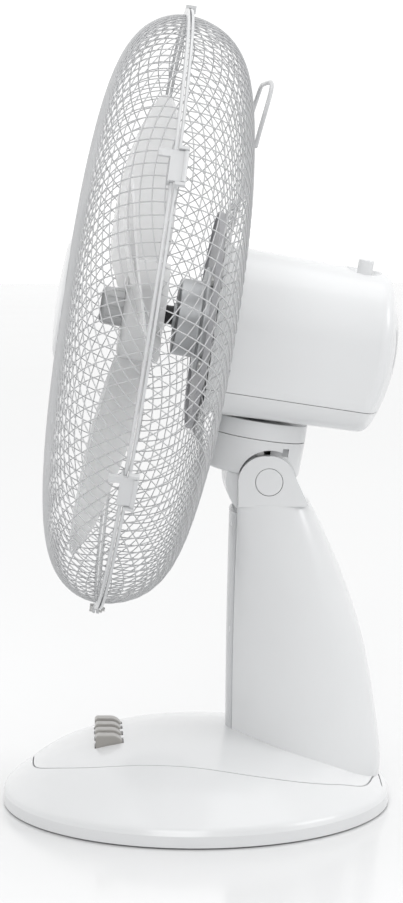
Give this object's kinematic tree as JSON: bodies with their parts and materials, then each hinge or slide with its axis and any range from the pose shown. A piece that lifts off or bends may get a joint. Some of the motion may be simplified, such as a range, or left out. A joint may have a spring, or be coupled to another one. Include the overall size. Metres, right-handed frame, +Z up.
{
  "type": "desk fan",
  "caption": "Oscillating desk fan: wire-guarded blades on a tilting motor head, over a tapered column and a low round base with push keys.",
  "frame": {"origin": "centre of the base on the surface it stands on", "axes": "+Z up, the fan blows toward -Y, +X is to the right seen from behind"},
  "size_m": [0.43, 0.2843, 0.5707],
  "materials": {
    "white_shell": "gloss, moulded white",
    "grey_panel": "gloss, cool grey",
    "key_grey": "satin, warm grey",
    "guard_wire": "satin white coating",
    "rim_band": "gloss white",
    "blade_clear": "smooth, milky translucent",
    "nut_grey": "satin, mid grey",
    "bell_metal": "cast, bead blasted",
    "plate_grey": "satin grey",
    "zinc_steel": "zinc plated",
    "core_steel": "laminated, bare",
    "copper_wire": "enamelled copper winding",
    "gear_white": "natural nylon",
    "box_black": "matte black",
    "foot_rubber": "matte, soft",
    "ballast_iron": "as cast",
    "washer_fibre": "pressed fibre"
  },
  "bodies": {
    "stand": {"base_shell": "white_shell", "cord_gland": "foot_rubber", "base_top_panel": "white_shell", "base_bottom_plate": "box_black", "base_screws": "zinc_steel", "rubber_feet": "foot_rubber", "ballast_weight": "ballast_iron", "switch_block": "box_black", "column_shell": "white_shell", "column_front_panel": "grey_panel", "column_screws": "zinc_steel", "pivot_bolt": "zinc_steel", "pivot_nut": "zinc_steel", "pivot_cap_right": "white_shell", "pivot_cap_left": "white_shell", "friction_washers": "washer_fibre"},
    "key_off": {"key_off": "key_grey"},
    "key_one": {"key_one": "key_grey"},
    "key_two": {"key_two": "key_grey"},
    "key_three": {"key_three": "key_grey"},
    "neck": {"neck_housing": "white_shell", "neck_flange": "white_shell", "swivel_post": "zinc_steel", "link_pin": "zinc_steel"},
    "link": {"link_arm": "zinc_steel"},
    "head": {"motor_cover": "white_shell", "motor_bottom_cover": "white_shell", "motor_front_bell": "bell_metal", "motor_rear_bell": "bell_metal", "front_bearing": "zinc_steel", "rear_bearing": "zinc_steel", "stator_core": "core_steel", "stator_windings": "copper_wire", "guard_plate": "plate_grey", "guard_screws": "zinc_steel", "gearbox_housing": "box_black", "gearbox_lid": "box_black", "run_capacitor": "box_black", "front_mesh": "guard_wire", "rear_mesh": "guard_wire", "front_rim": "rim_band", "rear_rim": "rim_band", "rim_screw": "zinc_steel", "rim_nut": "zinc_steel", "front_badge": "white_shell", "badge_retainer": "box_black", "carry_handle": "guard_wire"},
    "spindle": {"rotor": "core_steel", "motor_shaft": "zinc_steel", "worm": "zinc_steel", "fan_blade": "blade_clear", "blade_nut": "nut_grey"},
    "wheel": {"worm_wheel": "gear_white"},
    "crank": {"crank_gear": "gear_white"},
    "knob": {"clutch_knob": "white_shell"},
    "clip_a": {"rim_clip_a": "rim_band"},
    "clip_b": {"rim_clip_b": "rim_band"},
    "clip_c": {"rim_clip_c": "rim_band"},
    "clip_d": {"rim_clip_d": "rim_band"}
  },
  "joints": [
    {"name": "tilt", "type": "hinge", "parent": "stand", "child": "neck", "pos_m": [0, 0.05, 0.2365], "axis": [-1, 0, 0], "range_deg": [-14, 16]},
    {"name": "oscillate", "type": "hinge", "parent": "neck", "child": "head", "pos_m": [0, 0.05639, 0.34078], "axis": [0, 0.1564, 0.9877], "range_deg": [-40, 40]},
    {"name": "blade_spin", "type": "hinge", "parent": "head", "child": "spindle", "pos_m": [0, -0.03843, 0.3558], "axis": [0, 0.9877, -0.1564], "continuous": true},
    {"name": "wheel_spin", "type": "hinge", "parent": "head", "child": "wheel", "pos_m": [0.012, 0.11121, 0.3321], "axis": [0, 0.1564, 0.9877], "continuous": true},
    {"name": "crank_spin", "type": "hinge", "parent": "head", "child": "crank", "pos_m": [0, 0.09909, 0.31377], "axis": [0, 0.1564, 0.9877], "continuous": true},
    {"name": "link_swing", "type": "hinge", "parent": "neck", "child": "link", "pos_m": [-0.02, 0.05003, 0.30058], "axis": [0, 0.1564, 0.9877], "range_deg": [-40, 40]},
    {"name": "clutch", "type": "slide", "parent": "head", "child": "knob", "axis": [0, 0.1564, 0.9877], "range_m": [-0.005, 0]},
    {"name": "press_off", "type": "slide", "parent": "stand", "child": "key_off", "axis": [0, 0, 1], "range_m": [-0.0035, 0], "stiffness_N_per_m": 500, "springref_m": 0.0006},
    {"name": "press_one", "type": "slide", "parent": "stand", "child": "key_one", "axis": [0, 0, 1], "range_m": [-0.0035, 0], "stiffness_N_per_m": 500, "springref_m": 0.0006},
    {"name": "press_two", "type": "slide", "parent": "stand", "child": "key_two", "axis": [0, 0, 1], "range_m": [-0.0035, 0], "stiffness_N_per_m": 500, "springref_m": 0.0006},
    {"name": "press_three", "type": "slide", "parent": "stand", "child": "key_three", "axis": [0, 0, 1], "range_m": [-0.0035, 0], "stiffness_N_per_m": 500, "springref_m": 0.0006},
    {"name": "clip_a_swing", "type": "hinge", "parent": "head", "child": "clip_a", "pos_m": [0.19014, -0.01621, 0.45899], "axis": [-0.4848, 0.1368, 0.8639], "range_deg": [0, 100]},
    {"name": "clip_b_swing", "type": "hinge", "parent": "head", "child": "clip_b", "pos_m": [0.19014, -0.04918, 0.25079], "axis": [0.4848, 0.1368, 0.8639], "range_deg": [0, 100]},
    {"name": "clip_c_swing", "type": "hinge", "parent": "head", "child": "clip_c", "pos_m": [-0.19014, -0.01621, 0.45899], "axis": [-0.4848, -0.1368, -0.8639], "range_deg": [0, 100]},
    {"name": "clip_d_swing", "type": "hinge", "parent": "head", "child": "clip_d", "pos_m": [-0.19014, -0.04918, 0.25079], "axis": [0.4848, -0.1368, -0.8639], "range_deg": [0, 100]}
  ],
  "couplings": [
    {"joint": "wheel_spin", "follows": "blade_spin", "ratio": 0.041667},
    {"joint": "crank_spin", "follows": "blade_spin", "ratio": -0.011029},
    {"joint": "link_swing", "follows": "oscillate", "ratio": 0.9}
  ]
}
